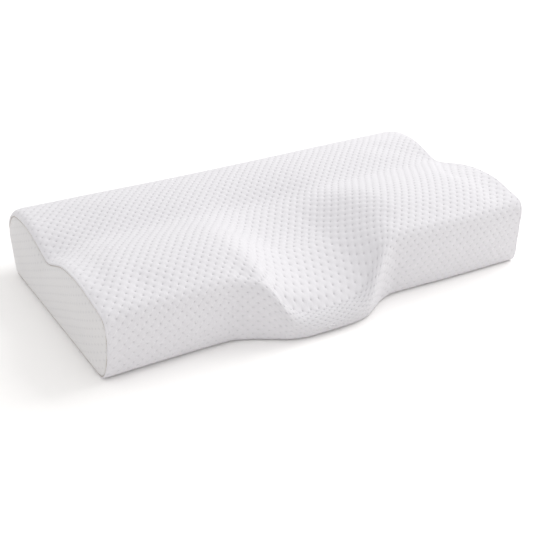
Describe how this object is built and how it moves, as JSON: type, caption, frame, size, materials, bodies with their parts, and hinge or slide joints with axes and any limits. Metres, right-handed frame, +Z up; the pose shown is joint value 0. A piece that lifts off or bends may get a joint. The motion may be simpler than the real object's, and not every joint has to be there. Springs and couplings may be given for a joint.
{
  "type": "contoured neck pillow",
  "caption": "Moulded foam neck pillow with two humps, a head hollow and a low front lobe, in a fitted dimpled white knit cover with end panels.",
  "frame": {"origin": "middle of the flat base, on the surface it lies on", "axes": "+X along the pillow's length, -Y towards the neck side with the low lobe, +Z up out of the top"},
  "size_m": [0.598, 0.364, 0.1012],
  "materials": {
    "wrap_knit": "soft white knit with small staggered dimples, matt",
    "end_knit": "soft white knit with faint level rows, matt"
  },
  "bodies": {
    "root": {"pillow_body": "wrap_knit", "end_panel_left": "end_knit", "end_panel_right": "end_knit"}
  },
  "joints": []
}
